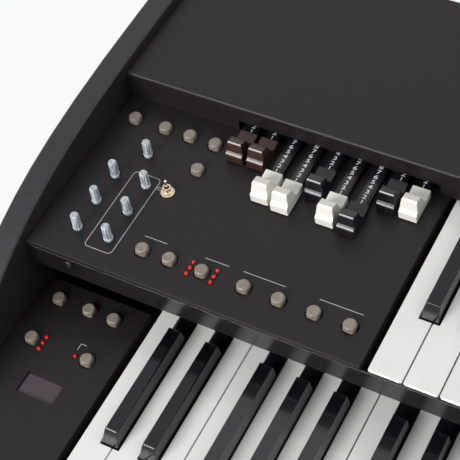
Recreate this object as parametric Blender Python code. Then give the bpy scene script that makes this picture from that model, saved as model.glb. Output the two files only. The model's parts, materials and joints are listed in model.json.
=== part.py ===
"""Portable two-manual drawbar organ: two staggered manuals between two cheek boards.

All sizes are in millimetres and become metres when an object is made. X runs along the keys,
Y from the player to the back, Z up. The origin is on the floor under the middle of the case.
"""

import math

import bmesh
import bpy
from mathutils import Matrix, Vector
from mathutils.geometry import interpolate_bezier

MM = 0.001

# Clearances
SEAT = 0.3  # between pieces that rest on or against each other
RUN = 0.3  # around pieces that turn or slide
OVERLAP = 0.5  # how far shapes of one piece reach into each other
CUT = 5.0  # how far a cutter reaches past the wall that it cuts

# Manuals
NATURAL_PITCH = 23.5
OCTAVES = 4
STAGGER_OCTAVES = 1
KEY_GAP = 1.0
TAIL_INSET = 0.15
SHARP_WIDTH = 12.2
SHARP_TOP_WIDTH = 9.2
SHARP_RISE = 12.0
SHARP_FRONT = 50.6
SHARP_REAR = 142.0
SHARP_SLOPE = 5.0
KEY_DEPTH = 8.5
KEY_TOP_WALL = 2.4
KEY_SIDE_WALL = 2.2
KEY_ROUND = 1.6
PIVOT_BACK = 215.0
MANUAL_OFFSET = 137.0
MANUAL_RISE = 56.7
LOWER_TOP = 68.3
LOWER_MOVING = (0, 1, 2, 3, 4)
UPPER_MOVING = (0, 1, 2)

# Case
CHEEK_THICK = 18.0
CHEEK_EDGE = 1.2
CHEEK_HEIGHT = 160.5
CASE_DEPTH = 450.0
FRONT_LIP = 13.0
CONTROL_WIDTH = 86.5
END_GAP = 4.0
FOOT_HEIGHT = 10.0
FOOT_RADIUS = 15.0
SHEET = 1.5
PAN_SHEET = 2.0
BEAD_MIDDLES = (-110.0, -30.0)
BEAD_HALF = 12.0
BEAD_RISE = 5.0
SHELF_THICK = 12.0
COVER_SHEET = 2.0
COVER_FOLD = 2.6
COVER_FACE = 144.0
COVER_RISE = 24.0

# Mains inlet
INLET_WIDTH = 27.5
INLET_HEIGHT = 20.0
INLET_DEPTH = 18.0
INLET_WALL = 2.5
INLET_FROM_CHEEK = 80.0
INLET_Z = 60.0

# Key slips
SLIP_SHEET = 1.2
SLIP_HEIGHT = 20.5
SLIP_RETURN = 15.0
SLIP_TOP_DROP = 0.3

# Control panels
PANEL_RISE = 3.5
PANEL_GAP = 4.0
PANEL_FOLD = 1.6
PANEL_FRONT_FLANGE = 3.5
PANEL_SIDE_FLANGE = 14.0
PANEL_DEPTH = 149.7
BOARD_DROP = 10.0
BOARD_THICK = 1.6
POST = 6.0

# Buttons
BUTTON_RADIUS = 4.5
BUTTON_SKIRT = 8.0
BUTTON_RISE = 4.2
BUTTON_SKIRT_RISE = 1.9
BUTTON_HOLE = 5.9
BUTTON_TRAVEL = 0.8
SWITCH_HEIGHT = 5.0

# Potentiometer shafts
SHAFT_RADIUS = 3.1
SHAFT_RISE = 13.3
SHAFT_RIBS = 12
SHAFT_FLANGE = 3.5
SHAFT_HOLE = 4.3
POT_HEIGHT = 6.5

# Lamps
LAMP_RADIUS = 1.5
LAMP_RISE = 1.5
LAMP_PITCH = 5.0

# Toggle switch
BUSHING_RADIUS = 3.0
BUSHING_RISE = 6.0
TOGGLE_BORE = 2.0
TOGGLE_PIVOT = 2.2
TOGGLE_REACH = 11.0

# Drawbars
DRAWBARS = 9
DRAWBAR_PITCH = 16.1
DRAWBAR_STEP = 4.6
DRAWBAR_STEPS = 8
DRAWBAR_WIDTH = 13.0
DRAWBAR_LENGTH = 24.4
DRAWBAR_HEAD = 17.6
BAR_WIDTH = 9.6
BAR_BACK = 148.0
BAR_BOTTOM = 1.0
BAR_TOP = 5.2
DRAWBAR_FLOAT = 0.8
WINDOW_HEIGHT = 9.9
WINDOW_MARGIN = 11.0
PULLED = (1, 1, 6.5, 7, 3, 6.6, 7, 1, 1)  # steps that each drawbar stands out in the photograph

# Datums worked out from the sizes above
OCTAVE = 7 * NATURAL_PITCH
NATURALS = 7 * OCTAVES + 1
SEMITONES = 12 * OCTAVES + 1
MANUAL_WIDTH = NATURALS * NATURAL_PITCH
INNER_WIDTH = CONTROL_WIDTH + STAGGER_OCTAVES * OCTAVE + MANUAL_WIDTH + END_GAP
INNER_LEFT = -INNER_WIDTH / 2
INNER_RIGHT = INNER_WIDTH / 2
LOWER_LEFT = INNER_LEFT + CONTROL_WIDTH
UPPER_LEFT = LOWER_LEFT + STAGGER_OCTAVES * OCTAVE
CASE_FRONT = -CASE_DEPTH / 2
CASE_REAR = CASE_DEPTH / 2
LOWER_FACE = CASE_FRONT + FRONT_LIP
UPPER_FACE = LOWER_FACE + MANUAL_OFFSET
UPPER_TOP = LOWER_TOP + MANUAL_RISE
KEY_FRONT = SLIP_SHEET + 2 * RUN
PAN_TOP = FOOT_HEIGHT + PAN_SHEET
CHASSIS_BOTTOM = SLIP_HEIGHT
CHASSIS_TOP = SLIP_HEIGHT - 1.7
SHELF_TOP = UPPER_TOP - CHASSIS_BOTTOM - SEAT
UPPER_PANEL_TOP = UPPER_TOP + PANEL_RISE
LOWER_PANEL_TOP = LOWER_TOP + PANEL_RISE
COVER_BOTTOM = UPPER_PANEL_TOP + SEAT
COVER_TOP = UPPER_PANEL_TOP + COVER_RISE
COVER_FRONT = UPPER_FACE + COVER_FACE
REAR_FACE = CASE_REAR - 5.0
UPPER_PANEL_RIGHT = UPPER_LEFT - PANEL_GAP
LOWER_PANEL_RIGHT = LOWER_LEFT - PANEL_GAP
LOWER_KEYS_RIGHT = LOWER_LEFT + MANUAL_WIDTH
INLET_X = INNER_RIGHT - INLET_FROM_CHEEK

# Control places: millimetres from the left cheek's inner face, and from the panel's front face
ROW = (24.4, 49.4, 74.4, 99.4, 124.6)
UPPER_BUTTONS = {
    "upper_octave_button": (15.5, ROW[4]),
    "upper_preset_a_button": (40.5, ROW[4]),
    "upper_preset_b_button": (60.5, ROW[4]),
    "manual_upper_button": (80.7, ROW[4]),
    "manual_lower_button": (80.2, ROW[3]),
    "vibrato_upper_button": (79.3, ROW[0]),
    "vibrato_lower_button": (99.7, ROW[0]),
    "vibrato_type_button": (124.2, ROW[0]),
    "percussion_on_button": (155.0, ROW[0]),
    "percussion_soft_button": (180.0, ROW[0]),
    "percussion_fast_button": (205.0, ROW[0]),
    "percussion_third_button": (230.0, ROW[0]),
}
UPPER_KNOBS = {
    "volume_knob": (40.5, ROW[3]),
    "click_knob": (28.0, ROW[2]),
    "percussion_knob": (28.0, ROW[1]),
    "assignable_knob": (28.0, ROW[0]),
    "drive_level_knob": (53.0, ROW[2]),
    "overdrive_knob": (53.0, ROW[1]),
    "tone_knob": (52.5, ROW[0]),
}
TOGGLE_PLACE = (70.4, 74.2)
TYPE_LAMPS = ((115.4, 3), (133.2, 3))
LOWER_ROW = (98.3, 133.9)
LOWER_BUTTONS = {
    "lower_octave_button": (17.0, LOWER_ROW[1]),
    "lower_preset_a_button": (41.8, LOWER_ROW[1]),
    "lower_preset_b_button": (61.7, LOWER_ROW[1]),
    "organ_type_button": (16.8, LOWER_ROW[0]),
    "pedals_button": (61.7, LOWER_ROW[0]),
}
LOWER_LAMPS = ((25.6, 3), (52.0, 1))
DISPLAY_LEFT = 28.7
DISPLAY_FRONT = 59.1
DISPLAY_SIZE = (28.7, 16.3)
DISPLAY_LENS_MARGIN = 2.0


def clear_scene():
    for obj in list(bpy.data.objects):
        bpy.data.objects.remove(obj, do_unlink=True)


def material(name, colour, roughness, metallic=0.0, transmission=0.0):
    """A Principled BSDF with the finish that a piece shows in the photograph."""
    made = bpy.data.materials.get(name)
    if made:
        return made
    made = bpy.data.materials.new(name)
    made.use_nodes = True
    shader = made.node_tree.nodes["Principled BSDF"]
    shader.inputs["Base Color"].default_value = (*colour, 1.0)
    shader.inputs["Roughness"].default_value = roughness
    shader.inputs["Metallic"].default_value = metallic
    shader.inputs["Transmission Weight"].default_value = transmission
    return made


def satin_black():
    return material("satin_black", (0.035, 0.032, 0.034), 0.5)


def cheek_grey():
    return material("cheek_grey", (0.045, 0.045, 0.048), 0.45)


def slip_black():
    return material("slip_black", (0.012, 0.012, 0.013), 0.18)


def key_white():
    return material("key_white", (0.86, 0.86, 0.85), 0.12)


def key_black():
    return material("key_black", (0.006, 0.006, 0.009), 0.1)


def zinc_steel():
    return material("zinc_steel", (0.42, 0.42, 0.4), 0.4, metallic=1.0)


def board_green():
    return material("board_green", (0.02, 0.11, 0.05), 0.5)


def button_grey():
    return material("button_grey", (0.27, 0.23, 0.195), 0.45)


def shaft_smoke():
    return material("shaft_smoke", (0.33, 0.37, 0.44), 0.2, transmission=0.4)


def lens_smoke():
    return material("lens_smoke", (0.05, 0.032, 0.045), 0.08)


def nickel():
    return material("nickel", (0.72, 0.62, 0.48), 0.25, metallic=1.0)


def cap_colour(index):
    """Brown, ivory or black, in the order of the drawbars in the photograph."""
    kind = ("brown", "brown", "ivory", "ivory", "black", "ivory", "black", "black", "ivory")[index]
    colours = {
        "brown": (0.07, 0.03, 0.022),
        "ivory": (0.86, 0.83, 0.76),
        "black": (0.012, 0.011, 0.014),
    }
    return material("cap_" + kind, colours[kind], 0.25)


def finish(name, bm, surface, origin=(0, 0, 0), sharp_angle=35):
    """Turns millimetre geometry into an object in metres, its origin on the given point."""
    bmesh.ops.recalc_face_normals(bm, faces=bm.faces)
    bmesh.ops.translate(bm, verts=bm.verts, vec=-Vector(origin))
    bmesh.ops.scale(bm, verts=bm.verts, vec=(MM, MM, MM))
    mesh = bpy.data.meshes.new(name)
    bm.to_mesh(mesh)
    bm.free()
    mesh.shade_smooth()
    mesh.set_sharp_from_angle(angle=math.radians(sharp_angle))
    obj = bpy.data.objects.new(name, mesh)
    obj.location = Vector(origin) * MM
    obj.data.materials.append(surface)
    bpy.context.collection.objects.link(obj)
    return obj


def boolean(obj, bm, operation="DIFFERENCE", surface=None):
    """Cuts from obj, or joins to it, the millimetre geometry in bm, through a hidden helper."""
    helper = finish(f"{obj.name}_{operation.lower()}_{len(obj.modifiers)}", bm, surface or obj.data.materials[0])
    helper.hide_render = True
    helper.display_type = "WIRE"
    modifier = obj.modifiers.new(operation.title(), "BOOLEAN")
    modifier.operation = operation
    modifier.object = helper
    modifier.solver = "EXACT"
    modifier.use_self = operation == "UNION"
    modifier.material_mode = "TRANSFER"
    return obj


def box(bm, x, y, z):
    """A block between the two values of each pair."""
    made = bmesh.ops.create_cube(bm, size=1.0)["verts"]
    size = (x[1] - x[0], y[1] - y[0], z[1] - z[0])
    centre = ((x[0] + x[1]) / 2, (y[0] + y[1]) / 2, (z[0] + z[1]) / 2)
    bmesh.ops.scale(bm, verts=made, vec=size)
    bmesh.ops.translate(bm, verts=made, vec=centre)
    return made


def extruded(bm, points, move):
    """The closed outline swept along one straight move."""
    face = bm.faces.new([bm.verts.new(point) for point in points])
    swept = bmesh.ops.extrude_face_region(bm, geom=[face])
    moved = [item for item in swept["geom"] if isinstance(item, bmesh.types.BMVert)]
    bmesh.ops.translate(bm, verts=moved, vec=move)
    return list(face.verts) + moved


def along_x(bm, outline, x):
    return extruded(bm, [(x[0], y, z) for y, z in outline], (x[1] - x[0], 0, 0))


def upright(bm, outline, z):
    return extruded(bm, [(x, y, z[0]) for x, y in outline], (0, 0, z[1] - z[0]))


def turned(bm, centre, profile, sides):
    """A solid of revolution about the vertical through centre: profile is (radius, height) upward."""
    rings = []
    for radius, height in profile:
        ring = []
        for step in range(sides):
            angle = 2 * math.pi * (step + 0.5) / sides
            ring.append(bm.verts.new((
                centre[0] + radius * math.cos(angle),
                centre[1] + radius * math.sin(angle),
                height,
            )))
        rings.append(ring)
    for low, high in zip(rings, rings[1:]):
        for step in range(sides):
            after = (step + 1) % sides
            bm.faces.new((low[step], low[after], high[after], high[step]))
    bm.faces.new(reversed(rings[0]))
    bm.faces.new(rings[-1])
    return [vert for ring in rings for vert in ring]


def arc(centre, radius, start, end, steps):
    """Points of an arc, angles in degrees."""
    points = []
    for step in range(steps + 1):
        angle = math.radians(start + (end - start) * step / steps)
        points.append((centre[0] + radius * math.cos(angle), centre[1] + radius * math.sin(angle)))
    return points


def bevel_where(bm, test, width, segments=2):
    """Rounds the edges whose two ends both pass the test."""
    chosen = [edge for edge in bm.edges if all(test(vert.co) for vert in edge.verts)]
    bmesh.ops.bevel(bm, geom=chosen, offset=width, segments=segments, profile=0.5, affect="EDGES")


# Case boards and sheet metal


def cheek_outline():
    """Side view of a cheek: a long curve that falls from the cover to a rounded nose."""
    base = FOOT_HEIGHT + 1.7
    nose = 10.0
    corner = 4.0
    curve = interpolate_bezier(
        Vector((117.6, CHEEK_HEIGHT)),
        Vector((-126.8, CHEEK_HEIGHT)),
        Vector((-75.3, 108.9)),
        Vector((LOWER_FACE, LOWER_TOP + 14.7)),
        15,
    )
    outline = [(CASE_REAR, base), (CASE_REAR, CHEEK_HEIGHT)]
    outline += [(point.x, point.y) for point in curve]
    outline += arc((CASE_FRONT + nose, LOWER_TOP + 2.5), nose, 95, 180, 4)
    outline += arc((CASE_FRONT + corner, base + corner), corner, 180, 270, 2)
    return outline


def cheek(name, left):
    bm = bmesh.new()
    right = left + CHEEK_THICK
    along_x(bm, cheek_outline(), (left, right))
    rim = [edge for edge in bm.edges if abs(edge.verts[0].co.x - edge.verts[1].co.x) < 1e-6]
    bmesh.ops.bevel(bm, geom=rim, offset=CHEEK_EDGE, segments=1, profile=0.5, affect="EDGES")
    return finish(name, bm, cheek_grey())


def base_pan():
    """Bottom sheet with a rear upstand, two stiffening beads and four feet."""
    bm = bmesh.new()
    front = LOWER_FACE + SEAT
    rear = REAR_FACE - SHEET - SEAT
    upstand = 20.0
    slant = BEAD_RISE
    top = [(front, FOOT_HEIGHT), (front, PAN_TOP)]
    for middle in BEAD_MIDDLES:
        top.append((middle - BEAD_HALF, PAN_TOP))
        top.append((middle - BEAD_HALF + slant, PAN_TOP + BEAD_RISE))
        top.append((middle + BEAD_HALF - slant, PAN_TOP + BEAD_RISE))
        top.append((middle + BEAD_HALF, PAN_TOP))
    top += [(rear - PAN_SHEET, PAN_TOP), (rear - PAN_SHEET, FOOT_HEIGHT + upstand)]
    bottom = [(rear, FOOT_HEIGHT + upstand), (rear, FOOT_HEIGHT)]
    inner = BEAD_HALF - PAN_SHEET / 2
    for middle in reversed(BEAD_MIDDLES):
        bottom.append((middle + inner, FOOT_HEIGHT))
        bottom.append((middle + inner - slant, FOOT_HEIGHT + BEAD_RISE))
        bottom.append((middle - inner + slant, FOOT_HEIGHT + BEAD_RISE))
        bottom.append((middle - inner, FOOT_HEIGHT))
    along_x(bm, top + bottom, (INNER_LEFT + SEAT, INNER_RIGHT - SEAT))
    pan = finish("base_pan", bm, satin_black())
    feet = bmesh.new()
    inset = 45.0
    for x in (INNER_LEFT + inset, INNER_RIGHT - inset):
        for y in (LOWER_FACE + 32.0, REAR_FACE - 32.0):
            profile = [
                (FOOT_RADIUS - 2.0, 0.0),
                (FOOT_RADIUS, 1.5),
                (FOOT_RADIUS, FOOT_HEIGHT + OVERLAP),
            ]
            turned(feet, (x, y), profile, 16)
    return boolean(pan, feet, "UNION", material("foot_rubber", (0.02, 0.02, 0.02), 0.8))


def slip(name, face, top, height):
    """A folded strip in front of the keys: an upright face and a return that is screwed down."""
    bm = bmesh.new()
    fold = 2.0
    bottom = top - height
    inner = fold - SLIP_SHEET
    outline = [(face + SLIP_SHEET, top - SLIP_TOP_DROP), (face, top - SLIP_TOP_DROP)]
    outline += arc((face + fold, bottom + fold), fold, 180, 270, 3)
    outline += [(face + SLIP_RETURN, bottom), (face + SLIP_RETURN, bottom + SLIP_SHEET)]
    outline += arc((face + fold, bottom + fold), inner, 270, 180, 3)
    along_x(bm, outline, (INNER_LEFT + SEAT, INNER_RIGHT - SEAT))
    return finish(name, bm, slip_black())


def manual_shelf():
    """The board that carries the upper manual from cheek to cheek."""
    bm = bmesh.new()
    chamfer = 3.0
    front = UPPER_FACE + 12.0
    rear = REAR_FACE - SHEET - 8.0
    bottom = SHELF_TOP - SHELF_THICK
    outline = [
        (front + chamfer, bottom),
        (front, bottom + chamfer),
        (front, SHELF_TOP),
        (rear, SHELF_TOP),
        (rear, bottom),
    ]
    along_x(bm, outline, (INNER_LEFT + SEAT, INNER_RIGHT - SEAT))
    return finish("manual_shelf", bm, satin_black())


def rear_cover():
    """Folded lid: a front face over the drawbars, a wide top and a short rear lip."""
    bm = bmesh.new()
    rear = REAR_FACE + SEAT + COVER_SHEET
    lip = 14.0
    inner = COVER_FOLD - COVER_SHEET
    front_fold = (COVER_FRONT + COVER_FOLD, COVER_TOP - COVER_FOLD)
    rear_fold = (rear - COVER_FOLD, COVER_TOP - COVER_FOLD)
    outline = [(COVER_FRONT + COVER_SHEET, COVER_BOTTOM), (COVER_FRONT, COVER_BOTTOM)]
    outline += arc(front_fold, COVER_FOLD, 180, 90, 4)
    outline += arc(rear_fold, COVER_FOLD, 90, 0, 3)
    outline += [(rear, COVER_TOP - lip), (rear - COVER_SHEET, COVER_TOP - lip)]
    outline += arc(rear_fold, inner, 0, 90, 3)
    outline += arc(front_fold, inner, 90, 180, 4)
    along_x(bm, outline, (INNER_LEFT + SEAT, INNER_RIGHT - SEAT))
    cover = finish("rear_cover", bm, satin_black())
    window = bmesh.new()
    reach = window_reach()
    box(
        window,
        reach,
        (COVER_FRONT - CUT, COVER_FRONT + COVER_SHEET + CUT),
        (COVER_BOTTOM - CUT, UPPER_PANEL_TOP + WINDOW_HEIGHT),
    )
    return boolean(cover, window)


def rear_panel():
    """Rear sheet with a top flange under the cover and the well of the mains inlet."""
    bm = bmesh.new()
    inner = REAR_FACE - SHEET
    top = COVER_TOP - COVER_SHEET - SEAT
    flange = 12.0
    outline = [
        (REAR_FACE, PAN_TOP + SEAT),
        (REAR_FACE, top),
        (REAR_FACE - flange, top),
        (REAR_FACE - flange, top - SHEET),
        (inner, top - SHEET),
        (inner, PAN_TOP + SEAT),
    ]
    along_x(bm, outline, (INNER_LEFT + SEAT, INNER_RIGHT - SEAT))
    panel = finish("rear_panel", bm, satin_black())
    half = INLET_WIDTH / 2
    rise = INLET_HEIGHT / 2
    block = bmesh.new()
    box(
        block,
        (INLET_X - half - INLET_WALL, INLET_X + half + INLET_WALL),
        (inner - INLET_DEPTH, REAR_FACE + 1.0),
        (INLET_Z - rise - INLET_WALL, INLET_Z + rise + INLET_WALL),
    )
    boolean(panel, block, "UNION")
    well = bmesh.new()
    box(
        well,
        (INLET_X - half, INLET_X + half),
        (inner - INLET_DEPTH + INLET_WALL, REAR_FACE + CUT),
        (INLET_Z - rise, INLET_Z + rise),
    )
    return boolean(panel, well)


# Control panels


def panel_shell(name, x, face, rear, top, folded_side):
    """A sheet panel folded down at the front and at the side next to the keys."""
    bm = bmesh.new()
    box(bm, x, (face, rear), (top - PANEL_SIDE_FLANGE, top))
    side = x[1] if folded_side > 0 else x[0]
    bevel_where(bm, lambda co: abs(co.z - top) < 1e-6 and abs(co.y - face) < 1e-6, PANEL_FOLD)
    bm.verts.ensure_lookup_table()
    bevel_where(
        bm,
        lambda co: abs(co.z - top) < 1e-6 and abs(co.x - side) < 1e-6,
        PANEL_FOLD,
    )
    panel = finish(name, bm, satin_black())
    hollow = bmesh.new()
    keep_right = SHEET if folded_side > 0 else -CUT
    keep_left = SHEET if folded_side < 0 else -CUT
    box(
        hollow,
        (x[0] + keep_left, x[1] - keep_right),
        (face + SHEET, rear + CUT),
        (top - PANEL_SIDE_FLANGE - CUT, top - SHEET),
    )
    boolean(panel, hollow)
    relief = bmesh.new()
    box(
        relief,
        (x[0] - CUT, x[1] + CUT),
        (face - CUT, face + SHEET + SEAT),
        (top - PANEL_SIDE_FLANGE - CUT, top - PANEL_FRONT_FLANGE),
    )
    return boolean(panel, relief)


def upper_control_panel():
    top = UPPER_PANEL_TOP
    panel = panel_shell(
        "upper_control_panel",
        (INNER_LEFT + SEAT, UPPER_PANEL_RIGHT),
        UPPER_FACE,
        UPPER_FACE + PANEL_DEPTH,
        top,
        1,
    )
    holes = bmesh.new()
    for place in UPPER_BUTTONS.values():
        drill(holes, upper_point(place), BUTTON_HOLE, top, 14)
    for place in UPPER_KNOBS.values():
        drill(holes, upper_point(place), SHAFT_HOLE, top, 14)
    drill(holes, upper_point(TOGGLE_PLACE), BUSHING_RADIUS + 2 * RUN, top, 12)
    for x, y in lamp_points(TYPE_LAMPS, ROW[0], upper_point):
        drill(holes, (x, y), LAMP_RADIUS + 2 * RUN, top, 8)
    return boolean(panel, holes)


def lower_control_panel():
    top = LOWER_PANEL_TOP
    panel = panel_shell(
        "lower_control_panel",
        (INNER_LEFT + SEAT, LOWER_PANEL_RIGHT),
        LOWER_FACE,
        UPPER_FACE + 12.0,
        top,
        1,
    )
    holes = bmesh.new()
    for place in LOWER_BUTTONS.values():
        drill(holes, lower_point(place), BUTTON_HOLE, top, 14)
    for x, y in lamp_points(LOWER_LAMPS, LOWER_ROW[0], lower_point):
        drill(holes, (x, y), LAMP_RADIUS + 2 * RUN, top, 8)
    left, front = lower_point((DISPLAY_LEFT, DISPLAY_FRONT))
    width, depth = DISPLAY_SIZE
    box(holes, (left, left + width), (front, front + depth), (top - SHEET - CUT, top + CUT))
    return boolean(panel, holes)


def blank_panel():
    """The plain panel that fills the end of the lower manual."""
    return panel_shell(
        "blank_panel",
        (LOWER_KEYS_RIGHT + PANEL_GAP, INNER_RIGHT - SEAT),
        LOWER_FACE,
        UPPER_FACE + 12.0,
        LOWER_PANEL_TOP,
        -1,
    )


def upper_point(place):
    return INNER_LEFT + place[0], UPPER_FACE + place[1]


def lower_point(place):
    return INNER_LEFT + place[0], LOWER_FACE + place[1]


def lamp_points(columns, row, to_world):
    """Lamps stand in columns beside a button, centred on its row."""
    points = []
    for x, count in columns:
        for index in range(count):
            points.append(to_world((x, row + LAMP_PITCH * (index - (count - 1) / 2))))
    return points


def drill(bm, place, radius, top, sides):
    turned(bm, place, [(radius, top - SHEET - CUT), (radius, top + CUT)], sides)


# Buttons, shafts and the toggle lever


def button(name, place, top):
    """A round cap on a square skirt, which slides in its hole down onto its switch."""
    x, y = place
    bm = bmesh.new()
    face = top + BUTTON_RISE
    profile = [
        (BUTTON_RADIUS, top + BUTTON_SKIRT_RISE - OVERLAP),
        (BUTTON_RADIUS, face - 0.7),
        (BUTTON_RADIUS - 0.7, face),
    ]
    turned(bm, place, profile, 16)
    cap = finish(name, bm, button_grey(), origin=(x, y, top))
    skirt = bmesh.new()
    half = BUTTON_SKIRT / 2
    bottom = switch_top(top) + BUTTON_TRAVEL + SEAT - 0.1
    box(skirt, (x - half, x + half), (y - half, y + half), (bottom, top + BUTTON_SKIRT_RISE))
    upright_edges = [edge for edge in skirt.edges if abs(edge.verts[0].co.z - edge.verts[1].co.z) > 1.0]
    bmesh.ops.bevel(skirt, geom=upright_edges, offset=1.0, segments=1, affect="EDGES")
    return boolean(cap, skirt, "UNION")


def switch_top(top):
    return board_top(top) + SWITCH_HEIGHT


def board_top(top):
    return top - SHEET - BOARD_DROP


def knob(name, place, top):
    """A bare ribbed potentiometer shaft with a flange at its foot."""
    x, y = place
    bm = bmesh.new()
    foot = board_top(top) + POT_HEIGHT - 2.5
    tip = top + SHAFT_RISE
    ribs = 2 * SHAFT_RIBS
    levels = (
        (SHAFT_RADIUS - 0.2, foot, 0.0),
        (SHAFT_RADIUS - 0.2, top - 0.4, 0.0),
        (SHAFT_FLANGE, top - 0.4, 0.0),
        (SHAFT_FLANGE, top + 1.2, 0.0),
        (SHAFT_RADIUS, top + 1.6, 0.16),
        (SHAFT_RADIUS, tip - 0.8, 0.16),
        (SHAFT_RADIUS - 0.6, tip, 0.0),
    )
    rings = []
    for radius, height, groove in levels:
        ring = []
        for step in range(ribs):
            angle = 2 * math.pi * step / ribs
            reach = radius - groove * (step % 2) * 2
            ring.append(bm.verts.new((x + reach * math.cos(angle), y + reach * math.sin(angle), height)))
        rings.append(ring)
    for low, high in zip(rings, rings[1:]):
        for step in range(ribs):
            after = (step + 1) % ribs
            bm.faces.new((low[step], low[after], high[after], high[step]))
    bm.faces.new(reversed(rings[0]))
    bm.faces.new(rings[-1])
    return finish(name, bm, shaft_smoke(), origin=(x, y, top))


def toggle_lever():
    """The ball-ended lever, its pivot ball inside the bushing."""
    x, y = upper_point(TOGGLE_PLACE)
    pivot = UPPER_PANEL_TOP + TOGGLE_PIVOT
    ball = TOGGLE_BORE - RUN
    tip = 1.25
    profile = [(ball * math.cos(math.radians(a)), pivot + ball * math.sin(math.radians(a))) for a in (-60, -25, 15, 50)]
    profile += [(0.75, pivot + 1.9), (0.95, pivot + TOGGLE_REACH - 2.0)]
    profile += [
        (tip * math.cos(math.radians(a)), pivot + TOGGLE_REACH - tip + tip * math.sin(math.radians(a)))
        for a in (-30, 0, 35, 65)
    ]
    bm = bmesh.new()
    turned(bm, (x, y), profile, 10)
    return finish("toggle_lever", bm, nickel(), origin=(x, y, pivot))


# Circuit boards


def board_base(name, x, y, top):
    bm = bmesh.new()
    box(bm, x, y, (board_top(top) - BOARD_THICK, board_top(top)))
    return finish(name, bm, board_green())


def switches(bm, places, top):
    """Tactile switches: a square body and a round plunger."""
    floor = board_top(top) - OVERLAP
    for x, y in places:
        box(bm, (x - 3.0, x + 3.0), (y - 3.0, y + 3.0), (floor, switch_top(top) - 1.0))
        turned(bm, (x, y), [(1.7, switch_top(top) - 1.0 - OVERLAP), (1.7, switch_top(top))], 8)


def lamps(bm, places, top):
    """Lamps on their legs: a cylinder with a domed end that stands through the panel."""
    floor = board_top(top) - OVERLAP
    tip = top + LAMP_RISE
    for place in places:
        profile = [
            (LAMP_RADIUS, floor),
            (LAMP_RADIUS, tip - 1.2),
            (LAMP_RADIUS * 0.8, tip - 0.4),
            (LAMP_RADIUS * 0.35, tip),
        ]
        turned(bm, place, profile, 8)


def posts(bm, places, top, floor):
    """Stand-offs through a board, from what carries it up to the underside of its panel."""
    for x, y in places:
        half = POST / 2
        box(bm, (x - half, x + half), (y - half, y + half), (floor + SEAT, top - SHEET - SEAT))


def upper_control_board():
    top = UPPER_PANEL_TOP
    floor = board_top(top) - OVERLAP
    x = (INNER_LEFT + 3.0, UPPER_PANEL_RIGHT - 4.0)
    y = (UPPER_FACE + 6.0, UPPER_FACE + 134.0)
    board = board_base("upper_control_board", x, y, top)
    parts = bmesh.new()
    switches(parts, [upper_point(place) for place in UPPER_BUTTONS.values()], top)
    bores = bmesh.new()
    for place in UPPER_KNOBS.values():
        px, py = upper_point(place)
        box(parts, (px - 5.0, px + 5.0), (py - 6.0, py + 5.0), (floor, board_top(top) + POT_HEIGHT))
        bore = SHAFT_RADIUS - 0.2 + RUN
        turned(bores, (px, py), [(bore, board_top(top) + POT_HEIGHT - 2.5 - SEAT), (bore, top)], 12)
    px, py = upper_point(TOGGLE_PLACE)
    box(parts, (px - 4.0, px + 4.0), (py - 6.5, py + 6.5), (floor, top - SHEET - SEAT))
    turned(parts, (px, py), [(BUSHING_RADIUS, top - SHEET - 1.0), (BUSHING_RADIUS, top + BUSHING_RISE)], 12)
    turned(parts, (px, py), [(4.9, top + SEAT), (4.9, top + SEAT + 0.6)], 12)
    turned(parts, (px, py), [(4.4, top + 0.8), (4.4, top + 2.6)], 6)
    turned(bores, (px, py), [(TOGGLE_BORE, top - 0.6), (TOGGLE_BORE, top + BUSHING_RISE + CUT)], 12)
    inset = POST / 2 + 1.0
    rows = (UPPER_FACE + SLIP_RETURN + inset, y[1] - inset)
    posts(parts, [(px, py) for px in (x[0] + inset, x[1] - inset) for py in rows], top, SHELF_TOP)
    boolean(board, parts, "UNION")
    bulbs = bmesh.new()
    lamps(bulbs, lamp_points(TYPE_LAMPS, ROW[0], upper_point), top)
    boolean(board, bulbs, "UNION", material("lamp_red", (0.6, 0.02, 0.02), 0.2))
    return boolean(board, bores)


def lower_control_board():
    top = LOWER_PANEL_TOP
    floor = board_top(top) - OVERLAP
    x = (INNER_LEFT + 3.0, LOWER_PANEL_RIGHT - 4.0)
    y = (LOWER_FACE + 50.0, LOWER_FACE + 142.0)
    board = board_base("lower_control_board", x, y, top)
    parts = bmesh.new()
    switches(parts, [lower_point(place) for place in LOWER_BUTTONS.values()], top)
    left, front = lower_point((DISPLAY_LEFT, DISPLAY_FRONT))
    width, depth = DISPLAY_SIZE
    lens_bottom = top - SHEET - SEAT - SHEET
    box(parts, (left - 1.0, left + width + 1.0), (front - 1.0, front + depth + 1.0), (floor, lens_bottom - SEAT))
    inset = POST / 2 + 1.0
    rows = (y[0] + inset, BEAD_MIDDLES[0] + BEAD_HALF + 2 * POST)
    posts(parts, [(px, py) for px in (x[0] + inset, x[1] - inset) for py in rows], top, PAN_TOP)
    boolean(board, parts, "UNION")
    bulbs = bmesh.new()
    lamps(bulbs, lamp_points(LOWER_LAMPS, LOWER_ROW[0], lower_point), top)
    return boolean(board, bulbs, "UNION", material("lamp_red", (0.6, 0.02, 0.02), 0.2))


def display_window():
    """Smoked lens under the display opening."""
    bm = bmesh.new()
    left, front = lower_point((DISPLAY_LEFT, DISPLAY_FRONT))
    width, depth = DISPLAY_SIZE
    margin = DISPLAY_LENS_MARGIN
    under = LOWER_PANEL_TOP - SHEET - SEAT
    box(
        bm,
        (left - margin, left + width + margin),
        (front - margin, front + depth + margin),
        (under - SHEET, under),
    )
    return finish("display_window", bm, lens_smoke())


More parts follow.
